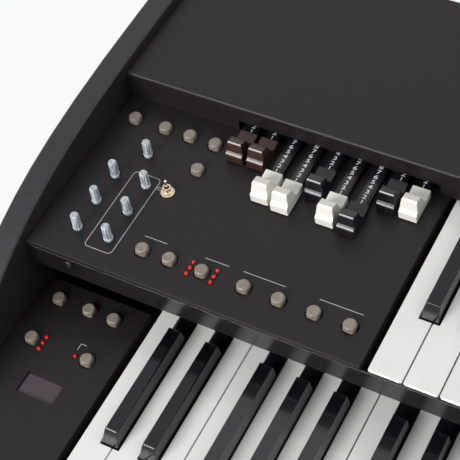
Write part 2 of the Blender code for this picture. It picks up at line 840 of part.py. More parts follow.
def main_board():
    """Sound and supply board on stand-offs behind the upper manual."""
    bm = bmesh.new()
    left = -90.0
    front = UPPER_FACE + PIVOT_BACK + 18.0
    x = (left, left + 190.0)
    y = (front, REAR_FACE - SHEET - 14.0)
    bottom = SHELF_TOP + 8.0
    box(bm, x, y, (bottom, bottom + BOARD_THICK))
    board = finish("main_board", bm, board_green())
    parts = bmesh.new()
    middle = (y[0] + y[1]) / 2
    top = bottom + BOARD_THICK - OVERLAP
    box(parts, (x[0] + 10.0, x[0] + 48.0), (middle - 16.0, middle + 16.0), (top, top + 26.0))
    box(parts, (x[0] + 95.0, x[0] + 119.0), (middle - 12.0, middle + 12.0), (top, top + 3.0))
    for index in range(3):
        turned(parts, (x[0] + 62.0 + 11.0 * index, middle), [(4.5, top), (4.5, top + 16.0)], 10)
    for index in range(2):
        box(parts, (x[0] + 130.0 + 26.0 * index, x[0] + 148.0 + 26.0 * index), (middle - 5.0, middle + 5.0), (top, top + 2.5))
    for px in (x[0] + 5.0, x[1] - 5.0):
        for py in (y[0] + 5.0, y[1] - 5.0):
            box(parts, (px - 3.0, px + 3.0), (py - 3.0, py + 3.0), (SHELF_TOP + SEAT, bottom + OVERLAP))
    return boolean(board, parts, "UNION")


# Drawbars


def drawbar_x(index):
    first = LOWER_LEFT + 14.3
    return first + DRAWBAR_PITCH * index


def window_reach():
    """Left and right end of the opening that the drawbars come out of."""
    return drawbar_x(0) - WINDOW_MARGIN, drawbar_x(DRAWBARS - 1) + WINDOW_MARGIN


def drawbar_bottom():
    return UPPER_PANEL_TOP + DRAWBAR_FLOAT


def drawbar(index):
    """One drawbar at its photographed place: a sculpted cap on a stepped, numbered bar."""
    x = drawbar_x(index)
    home = COVER_FRONT - SEAT - 0.1 - DRAWBAR_LENGTH
    front = home - DRAWBAR_STEP * PULLED[index]
    bottom = drawbar_bottom()
    half = DRAWBAR_WIDTH / 2
    outline = [
        (0.4, 0.0),
        (0.0, 6.6),
        (0.7, 7.7),
        (2.3, 9.0),
        (3.0, 16.2),
        (4.2, DRAWBAR_HEAD),
        (10.6, DRAWBAR_HEAD - 2.0),
        (12.4, 10.0),
        (14.4, 6.6),
        (17.0, 5.9),
        (DRAWBAR_LENGTH, 7.0),
        (DRAWBAR_LENGTH, 0.0),
    ]
    bm = bmesh.new()
    along_x(bm, [(front + y, bottom + z) for y, z in outline], (x - half, x + half))
    for vert in bm.verts:
        rise = max(0.0, vert.co.z - bottom - 7.8)
        vert.co.x = x + (vert.co.x - x) * (1.0 - 0.019 * rise)
    cap = finish(f"drawbar_{index + 1}", bm, cap_colour(index), origin=(x, front, bottom))
    bar = bmesh.new()
    rear = front + BAR_BACK
    base = BAR_WIDTH / 2
    strip = base - 1.1
    section = [
        (x - base, bottom + BAR_BOTTOM),
        (x - base, bottom + BAR_TOP - 0.7),
        (x - strip, bottom + BAR_TOP - 0.7),
        (x - strip, bottom + BAR_TOP),
        (x + strip, bottom + BAR_TOP),
        (x + strip, bottom + BAR_TOP - 0.7),
        (x + base, bottom + BAR_TOP - 0.7),
        (x + base, bottom + BAR_BOTTOM),
    ]
    start = front + DRAWBAR_LENGTH - 8.0
    extruded(bar, [(px, start, pz) for px, pz in section], (0, rear - start, 0))
    return boolean(cap, bar, "UNION", slip_black())


def drawbar_frame():
    """Tray with two combs that the bars slide through, on four legs over the shelf."""
    bm = bmesh.new()
    left, right = window_reach()
    front = UPPER_FACE + PANEL_DEPTH + 0.8
    floor = drawbar_bottom() + BAR_BOTTOM - RUN
    rear_comb = 76.0
    rear = front + rear_comb + 2.0
    sheet = 2.0
    box(bm, (left, right), (front, rear), (floor - sheet, floor))
    frame = finish("drawbar_frame", bm, zinc_steel())
    teeth = bmesh.new()
    slot = BAR_WIDTH / 2 + RUN
    rise = drawbar_bottom() + BAR_TOP + 1.0
    for y in (front, front + rear_comb):
        edges = [left] + [drawbar_x(index) + slot * side for index in range(DRAWBARS) for side in (-1, 1)] + [right]
        for start, end in zip(edges[0::2], edges[1::2]):
            box(teeth, (start + 0.001, end - 0.001), (y + 0.2, y + sheet - 0.2), (floor - OVERLAP, rise))
    leg = 8.0
    for x in (left + leg, right - leg):
        for y in (front + leg, rear - leg):
            box(
                teeth,
                (x - leg / 2, x + leg / 2),
                (y - leg / 2, y + leg / 2),
                (SHELF_TOP + SEAT, floor - sheet + OVERLAP),
            )
    return boolean(frame, teeth, "UNION")


# Keys


def slot_of(semitone):
    """Left and right edge of a key's tail, measured from the manual's left end."""
    octave, note = divmod(semitone, 12)
    left_group = 3 * NATURAL_PITCH / 5
    right_group = 4 * NATURAL_PITCH / 7
    if note < 5:
        start = note * left_group
        width = left_group
    else:
        start = 3 * NATURAL_PITCH + (note - 5) * right_group
        width = right_group
    return octave * OCTAVE + start, octave * OCTAVE + start + width


def is_sharp(semitone):
    return semitone % 12 in (1, 3, 6, 8, 10)


def natural_outline(semitone, left, face, rear, arc_steps):
    """Plan view of a natural: a full-width head with rounded corners and a narrower tail."""
    number = sum(not is_sharp(note) for note in range(semitone))
    head = (left + number * NATURAL_PITCH + KEY_GAP / 2, left + (number + 1) * NATURAL_PITCH - KEY_GAP / 2)
    slot = slot_of(semitone)
    tail_left = max(head[0], left + slot[0] + TAIL_INSET)
    tail_right = min(head[1], left + slot[1] - TAIL_INSET)
    if semitone == SEMITONES - 1:
        tail_right = head[1]
    front = face + KEY_FRONT
    notch = face + SHARP_FRONT - KEY_GAP
    radius = KEY_ROUND
    outline = arc((head[0] + radius, front + radius), radius, 180, 270, arc_steps)
    outline += arc((head[1] - radius, front + radius), radius, 270, 360, arc_steps)
    if tail_right < head[1] - 0.01:
        outline += [(head[1], notch), (tail_right, notch)]
    outline += [(tail_right, rear), (tail_left, rear)]
    if tail_left > head[0] + 0.01:
        outline += [(tail_left, notch), (head[0], notch)]
    return outline


def natural_body(bm, semitone, left, face, top, rear, arc_steps, round_front):
    """A natural's block, its front top edge rounded over."""
    verts = upright(bm, natural_outline(semitone, left, face, rear, arc_steps), (top - KEY_DEPTH, top))
    front = face + KEY_FRONT
    edges = [
        edge
        for edge in {edge for vert in verts for edge in vert.link_edges}
        if all(abs(vert.co.z - top) < 1e-6 and vert.co.y < front + KEY_ROUND - 0.01 for vert in edge.verts)
    ]
    if round_front:
        bmesh.ops.bevel(bm, geom=edges, offset=1.0, segments=1, profile=0.5, affect="EDGES")


def sharp_body(bm, semitone, left, face, top, rear, round_top):
    """A sharp: a stem between the naturals and a tapered block with a sloping front."""
    slot = slot_of(semitone)
    middle = left + (slot[0] + slot[1]) / 2
    half = SHARP_WIDTH / 2
    half_top = SHARP_TOP_WIDTH / 2
    front = face + SHARP_FRONT
    back = face + SHARP_REAR
    low = top - KEY_DEPTH
    base = top + 0.8
    high = top + SHARP_RISE
    rings = [
        ((middle - half, middle + half), (front, rear), low),
        ((middle - half, middle + half), (front, rear), top - 1.0),
    ]
    corners = []
    for x, y, z in rings:
        corners.append([bm.verts.new((px, py, z)) for px, py in ((x[0], y[0]), (x[1], y[0]), (x[1], y[1]), (x[0], y[1]))])
    shoulder = [bm.verts.new((px, back, top - 1.0)) for px in (middle + half, middle - half)]
    low_ring, top_ring = corners
    bm.faces.new(reversed(low_ring))
    bm.faces.new((low_ring[0], low_ring[1], top_ring[1], top_ring[0]))
    bm.faces.new((low_ring[1], low_ring[2], top_ring[2], shoulder[0], top_ring[1]))
    bm.faces.new((low_ring[2], low_ring[3], top_ring[3], top_ring[2]))
    bm.faces.new((low_ring[3], low_ring[0], top_ring[0], shoulder[1], top_ring[3]))
    bm.faces.new((shoulder[0], top_ring[2], top_ring[3], shoulder[1]))
    block = [top_ring[0], top_ring[1], shoulder[0], shoulder[1]]
    levels = [(half, front, back, base), (half_top, front + SHARP_SLOPE, back - 1.0, high - 0.8 * round_top)]
    if round_top:
        levels.append((half_top - 0.8, front + SHARP_SLOPE + 1.2, back - 1.8, high))
    for reach, y0, y1, z in levels:
        ring = [
            bm.verts.new(point)
            for point in (
                (middle - reach, y0, z),
                (middle + reach, y0, z),
                (middle + reach, y1, z),
                (middle - reach, y1, z),
            )
        ]
        for step in range(4):
            after = (step + 1) % 4
            bm.faces.new((block[step], block[after], ring[after], ring[step]))
        block = ring
    bm.faces.new(block)


def pivot_height(top):
    return top - KEY_DEPTH / 2


def moving_key(name, semitone, left, face, top):
    """One playable key, round at its rear end, where it turns in the chassis, and hollow below."""
    pivot = face + PIVOT_BACK
    bm = bmesh.new()
    slot = slot_of(semitone)
    middle = left + (slot[0] + slot[1]) / 2
    if is_sharp(semitone):
        sharp_body(bm, semitone, left, face, top, pivot, 1)
        surface = key_black()
        half = SHARP_WIDTH / 2
        hollow_front = face + SHARP_FRONT + KEY_SIDE_WALL
        hollow_half = half - KEY_SIDE_WALL
    else:
        natural_body(bm, semitone, left, face, top, pivot, 3, True)
        surface = key_white()
        right = min(slot[1] - TAIL_INSET, slot[1])
        half = (right - slot[0] - TAIL_INSET) / 2 - 0.4
        hollow_front = face + KEY_FRONT + KEY_SIDE_WALL
        hollow_half = half - KEY_SIDE_WALL
    key = finish(name, bm, surface, origin=(middle, pivot, pivot_height(top)))
    nose = bmesh.new()
    radius = KEY_DEPTH / 2
    outline = [(pivot - 3.0, pivot_height(top) - radius + 0.02), (pivot - 3.0, pivot_height(top) + radius - 0.02)]
    outline += arc((pivot, pivot_height(top)), radius - 0.02, 90, -90, 6)
    along_x(nose, outline, (middle - half + 0.3, middle + half - 0.3))
    boolean(key, nose, "UNION")
    hollow = bmesh.new()
    box(
        hollow,
        (middle - hollow_half, middle + hollow_half),
        (hollow_front, pivot - 12.0),
        (top - KEY_DEPTH - CUT, top - KEY_TOP_WALL),
    )
    return boolean(key, hollow)


def keyboard(name, left, face, top, moving, foot):
    """Chassis, pivot rail and the keys that stay with it. The moving keys' seats are cut in the rail."""
    bm = bmesh.new()
    pivot = face + PIVOT_BACK
    rail = 9.0
    wall_top = top - 0.6
    plate_top = top - CHASSIS_TOP
    plate_bottom = top - CHASSIS_BOTTOM
    front = face + SLIP_RETURN + 1.0
    outline = [(front, plate_top), (pivot, plate_top), (pivot, wall_top), (pivot + rail, wall_top)]
    if foot < plate_bottom - 1.0:
        leg = 2.0
        outline += [
            (pivot + rail, foot),
            (pivot + rail - leg, foot),
            (pivot + rail - leg, plate_bottom),
            (front + leg, plate_bottom),
            (front + leg, foot),
            (front, foot),
        ]
    else:
        outline += [(pivot + rail, plate_bottom), (front, plate_bottom)]
    along_x(bm, outline, (left - 1.5, left + MANUAL_WIDTH + 1.5))
    chassis = finish(name, bm, zinc_steel())
    whites = bmesh.new()
    blacks = bmesh.new()
    for semitone in range(SEMITONES):
        if semitone in moving:
            continue
        if is_sharp(semitone):
            sharp_body(blacks, semitone, left, face, top - 0.0, pivot + 3.0, 0)
        else:
            natural_body(whites, semitone, left, face, top, pivot + 3.0, 1, True)
    boolean(chassis, whites, "UNION", key_white())
    boolean(chassis, blacks, "UNION", key_black())
    seat = bmesh.new()
    first = slot_of(moving[0])[0]
    last = slot_of(moving[-1])[1]
    radius = KEY_DEPTH / 2 + RUN
    ring = arc((pivot, pivot_height(top)), radius, 0, 360, 16)[:-1]
    along_x(seat, ring, (left + first - 1.5 - CUT, left + last))
    return boolean(chassis, seat)


def note_name(manual, semitone):
    names = ("c", "c_sharp", "d", "d_sharp", "e", "f", "f_sharp", "g", "g_sharp", "a", "a_sharp", "b")
    return f"{manual}_key_{names[semitone % 12]}{semitone // 12 + 2}"


# The whole organ


def build():
    clear_scene()
    cheek("left_cheek", INNER_LEFT - CHEEK_THICK)
    cheek("right_cheek", INNER_RIGHT)
    base_pan()
    slip("front_slip", LOWER_FACE, LOWER_TOP, LOWER_TOP - PAN_TOP - SEAT)
    slip("upper_key_slip", UPPER_FACE, UPPER_TOP, SLIP_HEIGHT)
    manual_shelf()
    rear_cover()
    rear_panel()
    upper_control_panel()
    lower_control_panel()
    blank_panel()
    upper_control_board()
    lower_control_board()
    display_window()
    main_board()
    drawbar_frame()
    for index in range(DRAWBARS):
        drawbar(index)
    for name, place in UPPER_BUTTONS.items():
        button(name, upper_point(place), UPPER_PANEL_TOP)
    for name, place in LOWER_BUTTONS.items():
        button(name, lower_point(place), LOWER_PANEL_TOP)
    for name, place in UPPER_KNOBS.items():
        knob(name, upper_point(place), UPPER_PANEL_TOP)
    toggle_lever()
    keyboard("lower_keyboard", LOWER_LEFT, LOWER_FACE, LOWER_TOP, LOWER_MOVING, PAN_TOP + SEAT)
    keyboard("upper_keyboard", UPPER_LEFT, UPPER_FACE, UPPER_TOP, UPPER_MOVING, SHELF_TOP + SEAT)
    for semitone in LOWER_MOVING:
        moving_key(note_name("lower", semitone), semitone, LOWER_LEFT, LOWER_FACE, LOWER_TOP)
    for semitone in UPPER_MOVING:
        moving_key(note_name("upper", semitone), semitone, UPPER_LEFT, UPPER_FACE, UPPER_TOP)


build()
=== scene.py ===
import json
import math

import bpy
from mathutils import Matrix, Vector


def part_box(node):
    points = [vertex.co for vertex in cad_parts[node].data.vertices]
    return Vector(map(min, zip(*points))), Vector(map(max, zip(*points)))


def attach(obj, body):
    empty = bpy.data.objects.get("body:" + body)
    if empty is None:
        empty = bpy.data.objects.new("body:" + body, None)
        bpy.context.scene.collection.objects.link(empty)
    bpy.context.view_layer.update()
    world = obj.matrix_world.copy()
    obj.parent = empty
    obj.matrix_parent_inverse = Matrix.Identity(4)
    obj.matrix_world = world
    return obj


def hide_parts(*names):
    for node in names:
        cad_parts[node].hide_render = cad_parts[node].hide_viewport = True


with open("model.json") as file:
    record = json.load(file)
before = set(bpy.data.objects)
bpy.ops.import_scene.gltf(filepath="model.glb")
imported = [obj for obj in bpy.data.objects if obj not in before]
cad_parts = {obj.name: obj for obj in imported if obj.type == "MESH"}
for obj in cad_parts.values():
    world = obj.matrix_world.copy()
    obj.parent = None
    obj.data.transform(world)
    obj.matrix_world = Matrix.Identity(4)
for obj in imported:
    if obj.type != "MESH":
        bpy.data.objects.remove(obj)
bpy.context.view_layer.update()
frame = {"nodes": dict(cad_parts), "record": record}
nodes = frame["nodes"]


mm = 0.001

# The photograph's view: where the camera stands (mm) and the directions of its picture
view = {
    "place": (-18.25, -466.3, 835.0),
    "right": (0.8793, 0.4643, -0.1064),
    "down": (0.3106, -0.7283, -0.6108),
    "ahead": (-0.3611, 0.5040, -0.7846),
    "focalPixels": 1355.4,
    "picturePixels": 460,
    "sensor": 36,
}


def setCamera():
    lens = bpy.data.cameras.new("camera")
    lens.sensor_width = view["sensor"]
    lens.lens = view["focalPixels"] / view["picturePixels"] * view["sensor"]
    lens.clip_end = 20
    camera = bpy.data.objects.new("camera", lens)
    bpy.context.scene.collection.objects.link(camera)
    turn = Matrix([view["right"], [-v for v in view["down"]], [-v for v in view["ahead"]]]).transposed()
    camera.matrix_world = Matrix.Translation(Vector(view["place"]) * mm) @ turn.to_4x4()
    bpy.context.scene.camera = camera


setCamera()
bpy.context.scene.view_settings.view_transform = "Standard"
print("camera set")

# Sizes taken from the frame, in metres
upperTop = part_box("upper_control_panel")[1].z
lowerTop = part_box("lower_control_panel")[1].z
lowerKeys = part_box("lower_keyboard")
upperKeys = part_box("upper_keyboard")
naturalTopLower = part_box("lower_key_c2")[1].z
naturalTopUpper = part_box("upper_key_c2")[1].z

keys = {
    "pitch": 23.5,
    "sharpHalf": 6.25,
    "sharpFront": 50.2,
    "frontInset": 1.8,
    "sideWall": 1.5,
    "depth": 9.0,
}


# Finishes


def newFinish(name, colour, roughness, metallic=0.0):
    made = bpy.data.materials.new(name)
    made.use_nodes = True
    shader = made.node_tree.nodes["Principled BSDF"]
    shader.inputs["Base Color"].default_value = (*colour, 1)
    shader.inputs["Roughness"].default_value = roughness
    shader.inputs["Metallic"].default_value = metallic
    return made


def addNode(finish, kind, **settings):
    node = finish.node_tree.nodes.new(kind)
    for name, value in settings.items():
        setattr(node, name, value)
    return node


def joinSockets(finish, start, end):
    finish.node_tree.links.new(start, end)


def shaderOf(finish):
    return finish.node_tree.nodes["Principled BSDF"]


def addNoise(finish, scale, detail=3, stretch=(1, 1, 1)):
    place = addNode(finish, "ShaderNodeTexCoord")
    mapping = addNode(finish, "ShaderNodeMapping")
    mapping.inputs["Scale"].default_value = stretch
    noise = addNode(finish, "ShaderNodeTexNoise")
    noise.inputs["Scale"].default_value = scale
    noise.inputs["Detail"].default_value = detail
    joinSockets(finish, place.outputs["Object"], mapping.inputs["Vector"])
    joinSockets(finish, mapping.outputs["Vector"], noise.inputs["Vector"])
    return noise


def varyRoughness(finish, noise, low, high):
    spread = addNode(finish, "ShaderNodeMapRange")
    spread.inputs["To Min"].default_value = low
    spread.inputs["To Max"].default_value = high
    joinSockets(finish, noise.outputs["Fac"], spread.inputs["Value"])
    joinSockets(finish, spread.outputs["Result"], shaderOf(finish).inputs["Roughness"])


def varyColour(finish, noise, first, second, low=0.35, high=0.65):
    ramp = addNode(finish, "ShaderNodeValToRGB")
    ramp.color_ramp.elements[0].position = low
    ramp.color_ramp.elements[0].color = (*first, 1)
    ramp.color_ramp.elements[1].position = high
    ramp.color_ramp.elements[1].color = (*second, 1)
    joinSockets(finish, noise.outputs["Fac"], ramp.inputs["Fac"])
    joinSockets(finish, ramp.outputs["Color"], shaderOf(finish).inputs["Base Color"])
    return ramp


def addBump(finish, noise, strength, distance):
    bump = addNode(finish, "ShaderNodeBump")
    bump.inputs["Strength"].default_value = strength
    bump.inputs["Distance"].default_value = distance
    joinSockets(finish, noise.outputs["Fac"], bump.inputs["Height"])
    joinSockets(finish, bump.outputs["Normal"], shaderOf(finish).inputs["Normal"])


def grainedFinish(
    name, first, second, roughness, grain, metallic=0.0, specular=0.5, bumpDepth=0.00002, coat=0.0
):
    finish = newFinish(name, first, roughness[0], metallic)
    noise = addNoise(finish, grain)
    varyColour(finish, addNoise(finish, grain / 9, 2), first, second)
    varyRoughness(finish, noise, roughness[0], roughness[1])
    addBump(finish, noise, 0.35, bumpDepth)
    shader = shaderOf(finish)
    shader.inputs["Specular IOR Level"].default_value = specular
    shader.inputs["Coat Weight"].default_value = coat
    shader.inputs["Coat Roughness"].default_value = 0.06
    return finish


def axisValue(finish, axis):
    place = addNode(finish, "ShaderNodeTexCoord")
    split = addNode(finish, "ShaderNodeSeparateXYZ")
    joinSockets(finish, place.outputs["Object"], split.inputs["Vector"])
    return split.outputs[axis]


def addMath(finish, operation, first, second, third=None):
    node = addNode(finish, "ShaderNodeMath", operation=operation)
    for socket, value in zip(node.inputs, (first, second, third)):
        if value is None:
            continue
        if isinstance(value, (int, float)):
            socket.default_value = value
        else:
            joinSockets(finish, value, socket)
    return node.outputs["Value"]


def addMix(finish, factor, first, second):
    mix = addNode(finish, "ShaderNodeMix", data_type="RGBA")
    joinSockets(finish, factor, mix.inputs["Factor"])
    for socket, value in ((mix.inputs["A"], first), (mix.inputs["B"], second)):
        if isinstance(value, tuple):
            socket.default_value = (*value, 1)
        else:
            joinSockets(finish, value, socket)
    return mix.outputs["Result"]


satinPaint = grainedFinish(
    "satinPaint", (0.0125, 0.0098, 0.0113), (0.0155, 0.0125, 0.014), (0.36, 0.48), 2600, specular=0.26
)
cheekMoulding = grainedFinish(
    "cheekMoulding", (0.0175, 0.0172, 0.019), (0.023, 0.0225, 0.0245), (0.36, 0.5), 1500, specular=0.4,
    bumpDepth=0.00004
)
slipPaint = grainedFinish(
    "slipPaint", (0.009, 0.0082, 0.0085), (0.012, 0.011, 0.0115), (0.15, 0.22), 1200, specular=0.6,
    bumpDepth=0.000004
)
shelfBoard = grainedFinish("shelfBoard", (0.02, 0.018, 0.017), (0.032, 0.028, 0.025), (0.6, 0.8), 700)
blackBoard = grainedFinish("blackBoard", (0.004, 0.008, 0.006), (0.008, 0.016, 0.011), (0.35, 0.5), 1800)
blackSteel = grainedFinish("blackSteel", (0.008, 0.008, 0.008), (0.014, 0.014, 0.014), (0.4, 0.55), 1500)
buttonPlastic = grainedFinish(
    "buttonPlastic", (0.225, 0.19, 0.162), (0.275, 0.236, 0.203), (0.4, 0.54), 2400, bumpDepth=0.00002
)
ivoryKey = grainedFinish(
    "ivoryKey", (0.82, 0.82, 0.815), (0.85, 0.85, 0.845), (0.1, 0.2), 900, bumpDepth=0.000003, coat=0.3
)
ebonyKey = grainedFinish(
    "ebonyKey", (0.0035, 0.0035, 0.005), (0.006, 0.006, 0.0085), (0.12, 0.2), 1200, specular=0.3,
    bumpDepth=0.000004, coat=0.12
)
brassNickel = grainedFinish(
    "brassNickel", (0.78, 0.66, 0.52), (0.85, 0.76, 0.64), (0.16, 0.3), 1600, metallic=1.0, bumpDepth=0.000008
)
printInk = grainedFinish("printInk", (0.5, 0.5, 0.51), (0.58, 0.58, 0.59), (0.5, 0.6), 3000)
digitInk = grainedFinish("digitInk", (0.72, 0.72, 0.73), (0.8, 0.8, 0.81), (0.5, 0.6), 3000)
smokedLens = grainedFinish(
    "smokedLens", (0.045, 0.027, 0.038), (0.055, 0.034, 0.046), (0.1, 0.16), 600, bumpDepth=0.000002
)
print("paints and plastics made")


def shaftFinish():
    # translucent shaft: its vertical light and dark streaks are painted sheen, standing in for light caught
    # by its ribs; the same streaks also give the bump
    finish = newFinish("shaftClear", (0.5, 0.56, 0.64), 0.2)
    paintedSheenStreaks = addNoise(finish, 900, 2, (1, 1, 0.08))
    # painted sheen: light and dark streaks in the shaft's colour
    varyColour(finish, paintedSheenStreaks, (0.27, 0.315, 0.375), (0.76, 0.8, 0.85), 0.36, 0.6)
    varyRoughness(finish, addNoise(finish, 1500), 0.1, 0.24)
    shaderOf(finish).inputs["Transmission Weight"].default_value = 0.15
    shaderOf(finish).inputs["IOR"].default_value = 1.49
    addBump(finish, paintedSheenStreaks, 0.3, 0.00004)
    return finish


def boardFinish(name, panelTop):
    # black board below the panel, plated metal where the switch comes through it
    finish = grainedFinish(name, (0.004, 0.008, 0.006), (0.008, 0.016, 0.011), (0.3, 0.45), 1800)
    shader = shaderOf(finish)
    above = addMath(finish, "GREATER_THAN", axisValue(finish, "Z"), panelTop - 0.2 * mm)
    board = shader.inputs["Base Color"].links[0].from_socket
    joinSockets(finish, addMix(finish, above, board, (0.8, 0.69, 0.56)), shader.inputs["Base Color"])
    joinSockets(finish, above, shader.inputs["Metallic"])
    return finish


def lampFinish():
    finish = newFinish("lampRed", (0.4, 0.008, 0.01), 0.1)
    noise = addNoise(finish, 1400)
    ramp = varyColour(finish, noise, (0.26, 0.004, 0.006), (0.62, 0.016, 0.018))
    joinSockets(finish, ramp.outputs["Color"], shaderOf(finish).inputs["Emission Color"])
    shaderOf(finish).inputs["Emission Strength"].default_value = 0.1
    varyRoughness(finish, noise, 0.05, 0.12)
    return finish


def padFinish():
    finish = grainedFinish("rubberPad", (0.012, 0.012, 0.012), (0.02, 0.02, 0.02), (0.7, 0.9), 1300)
    return finish


def keyboardFinish(name, box, naturalTop):
    # ivory naturals, ebony sharps and plated steel below, told apart by their place on the manual
    finish = newFinish(name, (0.8, 0.8, 0.8), 0.14)
    left = box[0].x + keys["sideWall"] * mm
    front = box[0].y - keys["frontInset"] * mm + keys["sharpFront"] * mm
    pitch = keys["pitch"] * mm
    octave = 7 * pitch
    across = addMath(finish, "SUBTRACT", axisValue(finish, "X"), left)
    within = addMath(finish, "MODULO", across, octave)
    lowSlot = 3 * pitch / 5
    highSlot = 4 * pitch / 7
    centres = [1.5 * lowSlot, 3.5 * lowSlot] + [3 * pitch + (k + 0.5) * highSlot for k in (1, 3, 5)]
    onSharp = None
    for centre in centres:
        hit = addMath(finish, "COMPARE", within, centre, keys["sharpHalf"] * mm)
        onSharp = hit if onSharp is None else addMath(finish, "MAXIMUM", onSharp, hit)
    behind = addMath(finish, "GREATER_THAN", axisValue(finish, "Y"), front)
    stem = addMath(finish, "MULTIPLY", onSharp, behind)
    above = addMath(finish, "GREATER_THAN", axisValue(finish, "Z"), naturalTop + 0.2 * mm)
    dark = addMath(finish, "MAXIMUM", stem, above)
    below = addMath(finish, "LESS_THAN", axisValue(finish, "Z"), naturalTop - keys["depth"] * mm)
    noise = addNoise(finish, 900)
    ivory = addMix(finish, noise.outputs["Fac"], (0.79, 0.79, 0.785), (0.83, 0.83, 0.825))
    ebony = addMix(finish, noise.outputs["Fac"], (0.0045, 0.0045, 0.0065), (0.008, 0.008, 0.011))
    steel = addMix(finish, noise.outputs["Fac"], (0.06, 0.06, 0.06), (0.09, 0.09, 0.088))
    colour = addMix(finish, below, addMix(finish, dark, ivory, ebony), steel)
    joinSockets(finish, colour, shaderOf(finish).inputs["Base Color"])
    varyRoughness(finish, noise, 0.1, 0.22)
    addBump(finish, noise, 0.3, 0.000004)
    shaderOf(finish).inputs["Coat Weight"].default_value = 0.3
    shaderOf(finish).inputs["Coat Roughness"].default_value = 0.06
    return finish


capColours = {
    "brown": ((0.04, 0.017, 0.013), (0.052, 0.024, 0.019)),
    "ivory": ((0.85, 0.83, 0.765), (0.88, 0.865, 0.805)),
    "black": ((0.007, 0.0062, 0.0085), (0.011, 0.0098, 0.013)),
}
drawbars = {
    "colours": ("brown", "brown", "ivory", "ivory", "black", "ivory", "black", "black", "ivory"),
    "capLength": 24.4,
    "barTop": 5.2,
    "digitPitch": 4.6,
    "digitSize": 4.7,
    "digitStretch": 1.35,
    "digits": 8,
}


def drawbarFinish(index, kind, capRear):
    # the cap's colour in front, the black numbered bar behind it
    finish = newFinish(f"drawbar{index}Plastic", capColours[kind][0], 0.2)
    noise = addNoise(finish, 1100)
    cap = addMix(finish, noise.outputs["Fac"], *capColours[kind])
    bar = addMix(finish, noise.outputs["Fac"], (0.007, 0.007, 0.009), (0.014, 0.014, 0.016))
    behind = addMath(finish, "GREATER_THAN", axisValue(finish, "Y"), capRear + 0.02 * mm)
    joinSockets(finish, addMix(finish, behind, cap, bar), shaderOf(finish).inputs["Base Color"])
    varyRoughness(finish, noise, 0.16, 0.26)
    addBump(finish, noise, 0.15, 0.000004)
    shaderOf(finish).inputs["Specular IOR Level"].default_value = 0.4
    shaderOf(finish).inputs["Coat Weight"].default_value = 0.12
    return finish


# Modelling helpers


def deselectAll():
    if bpy.context.object and bpy.context.object.mode != "OBJECT":
        bpy.ops.object.mode_set(mode="OBJECT")
    bpy.ops.object.select_all(action="DESELECT")


def makeActive(piece):
    deselectAll()
    piece.select_set(True)
    bpy.context.view_layer.objects.active = piece


def applyModifiers(piece):
    makeActive(piece)
    for modifier in list(piece.modifiers):
        bpy.ops.object.modifier_apply(modifier=modifier.name)


def freezePlace(piece):
    makeActive(piece)
    bpy.ops.object.transform_apply(location=True, rotation=True, scale=True)


def fitPiece(piece, name, finish, body, slot, *replaced):
    piece.name = name
    piece.data.name = name
    piece.data.materials.clear()
    piece.data.materials.append(finish)
    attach(piece, body)
    if replaced:
        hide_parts(*replaced)
    return piece


def softenEdges(piece, width, segments, angle):
    if width:
        bevel = piece.modifiers.new("softEdges", "BEVEL")
        bevel.width = width * mm
        bevel.segments = segments
        bevel.limit_method = "ANGLE"
        bevel.angle_limit = math.radians(angle)
        bevel.use_clamp_overlap = False
        bevel.harden_normals = False
    applyModifiers(piece)
    bpy.ops.object.shade_smooth_by_angle(angle=math.radians(angle + 12))
    weighted = piece.modifiers.new("evenShading", "WEIGHTED_NORMAL")
    weighted.keep_sharp = True
    applyModifiers(piece)


def refined(nodeName, finish, width, body="case", segments=2, angle=28):
    # a welded copy of the frame's node with softened edges and smooth curves
    source = nodes[nodeName]
    slot = source.data.materials[0].name if source.data.materials else ""
    piece = bpy.data.objects.new(nodeName + "_surface", source.data.copy())
    bpy.context.scene.collection.objects.link(piece)
    makeActive(piece)
    bpy.ops.object.mode_set(mode="EDIT")
    bpy.ops.mesh.select_all(action="SELECT")
    bpy.ops.mesh.remove_doubles(threshold=0.01 * mm)
    bpy.ops.mesh.dissolve_limited(angle_limit=math.radians(0.5))
    bpy.ops.object.mode_set(mode="OBJECT")
    softenEdges(piece, width, segments, angle)
    fitPiece(piece, nodeName + "_surface", finish, body, slotOf[nodeName], nodeName)
    return piece


slotOf = {entry["node"]: entry["material_slot"] for entry in frame["record"]["subparts"]}

# Case
for side in ("left_cheek", "right_cheek"):
    refined(side, cheekMoulding, 0.5, angle=24)
for sheetName in ("upper_control_panel", "lower_control_panel", "blank_panel"):
    refined(sheetName, satinPaint, 0.12)
refined("rear_cover", satinPaint, 0.2, angle=35)
for slipName in ("upper_key_slip", "front_slip"):
    refined(slipName, slipPaint, 0.2, angle=40)
nodes["rear_panel"].data.materials[0] = satinPaint
nodes["base_pan"].data.materials[0] = padFinish()
nodes["manual_shelf"].data.materials[0] = shelfBoard
nodes["display_window"].data.materials[0] = smokedLens
nodes["drawbar_frame"].data.materials[0] = blackSteel
nodes["main_board"].data.materials[0] = blackBoard
nodes["upper_control_board"].data.materials[0] = boardFinish("upperBoard", upperTop)
nodes["lower_control_board"].data.materials[0] = boardFinish("lowerBoard", lowerTop)
print("case dressed")

# Manuals
refined("lower_keyboard", keyboardFinish("lowerManual", lowerKeys, naturalTopLower), 0.25)
refined("upper_keyboard", keyboardFinish("upperManual", upperKeys, naturalTopUpper), 0.25)
for nodeName in sorted(nodes):
    if "_key_" in nodeName and nodeName != "upper_key_slip":
        refined(nodeName, ebonyKey if "sharp" in nodeName else ivoryKey, 0.25, nodeName)
print("manuals dressed")

# Buttons and shafts
shaftClear = shaftFinish()
for nodeName in sorted(nodes):
    if nodeName.endswith("_button"):
        nodes[nodeName].data.materials[0] = buttonPlastic
    if nodeName.endswith("_knob"):
        nodes[nodeName].data.materials[0] = shaftClear
refined("toggle_lever", brassNickel, 0.0, "toggle_lever", angle=40)
print("controls dressed")


